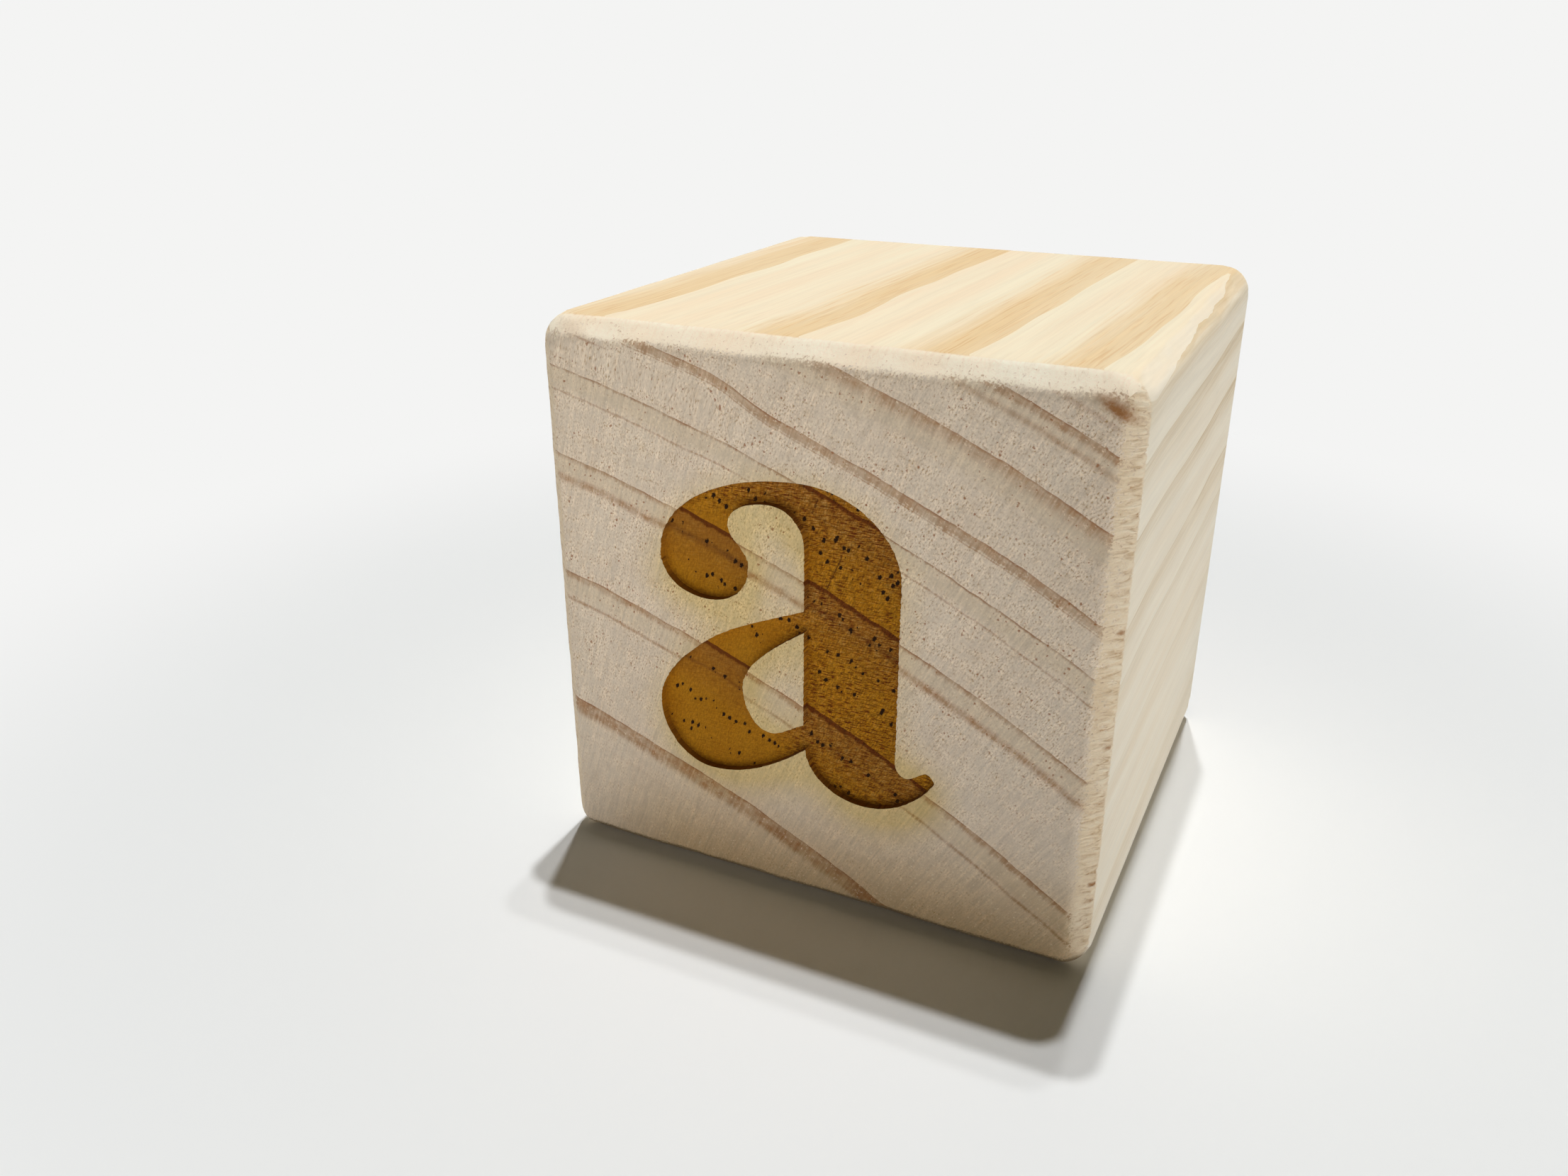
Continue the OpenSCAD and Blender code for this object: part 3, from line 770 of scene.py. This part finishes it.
def darkening_by_rims(mesh, burnt, rim):
    """How dark every point is by a rim. The burnt wood is darker along its rims."""
    tree = kdtree.KDTree(len(rim))
    for index in rim:
        point = mesh.vertices[index].co
        tree.insert((point.x, 0, point.z), index)
    tree.balance()
    rim_darkening = [0.0] * len(mesh.vertices)
    for index in burnt:
        point = mesh.vertices[index].co
        flat = Vector((point.x, 0, point.z))
        nearest, _, distance = tree.find(flat)
        # The way to the rim, steadied for points that stand on it
        way = (nearest - flat).normalized() if distance > 0.02 * MM else DOWN_LEFT * 0.5
        below = max(0, way.dot(DOWN_LEFT)) ** 2 * max(0, 1 - distance / LOWER_RIM_DARKENING) ** 1.5
        rim_darkening[index] = max(below, 0.2 * max(0, 1 - distance / RIM_DARKENING))
    return rim_darkening


def smoke_by_letter(mesh, inside):
    """The smoke's stain at every point of the front, from the points inside the letter."""
    places = np.empty(3 * len(mesh.vertices))
    mesh.vertices.foreach_get("co", places)
    right, back, up = places.reshape(-1, 3).T / MM
    fire, *edges = np.histogram2d(right[inside], up[inside], bins=FIRE_CELLS)
    fire_right, fire_up = ((edge[1:] + edge[:-1]) / 2 for edge in edges)
    front = np.flatnonzero(back < FRONT + 0.5)
    gap_right = (right[front, None] - fire_right) / SMOKE_SPREAD
    gap_up = (up[front, None] + SMOKE_FALL - fire_up) / SMOKE_SPREAD
    reached = np.exp(-gap_right ** 2 / 2) @ fire
    smoke = np.zeros(len(mesh.vertices))
    smoke[front] = (reached * np.exp(-gap_up ** 2 / 2)).sum(axis=1)
    return np.interp(smoke / smoke.max(), STAIN_SHARES, (0, 1))


def mark_burn(block):
    """Marks every point with the smoke that reached it and how dark it is by a rim."""
    mesh = block.data
    burnt = set()
    bare = set()
    for face in mesh.polygons:
        (burnt if face.material_index else bare).update(face.vertices)
    marks = {
        "smoke": smoke_by_letter(mesh, sorted(burnt - bare)),
        "rim_darkening": darkening_by_rims(mesh, burnt, sorted(burnt & bare)),
    }
    for name, values in marks.items():
        mesh.attributes.new(name, "FLOAT", "POINT").data.foreach_set("value", values)


block = alphabet_block()
mark_burn(block)
wood = growth_rings()
block.data.materials.append(sanded_pine(wood))
block.data.materials.append(scorched_pine(wood))
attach(block, "root")
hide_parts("block")


# The floor: a table top of white melamine, smooth and matt, which fades into the pale
# room behind it, so that no horizon shows
ROOM = "#f4f4f3"
# Where the fade starts and ends, and half the floor's width, in metres from the block
FADE = (0.055, 0.14)
FLOOR_REACH = 6


def table_top():
    bm = bmesh.new()
    bmesh.ops.create_grid(bm, x_segments=1, y_segments=1, size=FLOOR_REACH)
    floor = as_object("table_top", bm)
    material, tree = empty_material("white melamine")
    board = add(tree, "ShaderNodeBsdfPrincipled", {
        "Base Color": "#efefee", "Roughness": 0.6, "IOR": 1.45, "Specular IOR Level": 0.15,
    })
    place = add(tree, "ShaderNodeTexCoord")
    away = add(tree, VECTOR, place.outputs["Object"], operation="LENGTH").outputs["Value"]
    far = add(tree, RANGE, away, *FADE, 0.0, 1.0, **SOFT)
    path = add(tree, "ShaderNodeLightPath")
    far = add(tree, MATH, far, path.outputs["Is Camera Ray"], operation="MULTIPLY")
    room = add(tree, "ShaderNodeEmission", {"Color": ROOM, "Strength": 1.0})
    faded = add(tree, "ShaderNodeMixShader", far, board, room)
    add(tree, "ShaderNodeOutputMaterial", {"Surface": faded})
    floor.data.materials.append(material)
    return floor


table_top()


# Light: three ceiling lamps that shine down from a little behind, a soft lamp on the front
# and one on the right side, and a pale room
def lamp(name, kind, strength, colour, **settings):
    light = bpy.data.lights.new(name, kind)
    light.energy = strength
    light.color = linear(colour)[:3]
    for key, value in settings.items():
        setattr(light, key, value)
    made = bpy.data.objects.new(name, light)
    bpy.context.scene.collection.objects.link(made)
    return made


def ceiling_lamp(name, strength, forward, to_right):
    """A sun whose light comes down and leans forward and to the right, in degrees."""
    made = lamp(name, "SUN", strength, "#f9fcff", angle=math.radians(1.4))
    made.rotation_euler = [math.radians(-forward), math.radians(-to_right), 0]


def studio_lamp(name, strength, colour, place, target, width, soft):
    """A round spot with a soft radius. It fades out half the width away from the target."""
    made = lamp(name, "SPOT", strength, colour, shadow_soft_size=soft, spot_blend=1.0)
    made.location = place
    way = Vector(target) - Vector(place)
    made.data.spot_size = 2 * math.atan(width / 2 / way.length)
    made.rotation_euler = way.to_track_quat("-Z", "Y").to_euler()


ceiling_lamp("near_ceiling_lamp", 1.36, 10.2, 0.3)
ceiling_lamp("side_ceiling_lamp", 1.09, 13.0, 4.2)
ceiling_lamp("far_ceiling_lamp", 0.34, 15.6, 1.0)
studio_lamp("front_lamp", 2.3, "#fff9ee", place=(0.06, -0.48, 0.14),
            target=(-0.017, low.y, 0.037), width=0.105, soft=0.03)
studio_lamp("side_lamp", 8.4, "#fffdfa", place=(0.52, -0.07, 0.05),
            target=(high.x, 0.0, 0.041), width=0.076, soft=0.05)

world = bpy.data.worlds.new("pale room")
bpy.context.scene.world = world
world.use_nodes = True
world.node_tree.nodes.clear()
room = add(world.node_tree, "ShaderNodeBackground", {"Color": "#fdeaa6", "Strength": 0.052})
wall = add(world.node_tree, "ShaderNodeBackground", {"Color": ROOM, "Strength": 1.0})
path = add(world.node_tree, "ShaderNodeLightPath")
seen = add(world.node_tree, MATH, path.outputs["Is Camera Ray"], path.outputs["Is Glossy Ray"],
           operation="MAXIMUM")
seen = add(world.node_tree, MATH, seen, path.outputs["Is Transmission Ray"], operation="MAXIMUM")
mixed = add(world.node_tree, "ShaderNodeMixShader", seen, room, wall)
add(world.node_tree, "ShaderNodeOutputWorld", {"Surface": mixed})

# Camera: where the photograph was taken, two block widths from the letter
lens = bpy.data.cameras.new("camera")
lens.lens = 29.034
lens.sensor_width = 36
lens.sensor_fit = "HORIZONTAL"
lens.clip_start = 0.005
camera = bpy.data.objects.new("camera", lens)
camera.location = (0.03928, -0.10876, 0.07112)
camera.rotation_euler = [math.radians(angle) for angle in (66.2006, 0.1281, 26.1664)]
bpy.context.scene.collection.objects.link(camera)
bpy.context.scene.camera = camera
bpy.context.scene.view_settings.view_transform = "Standard"
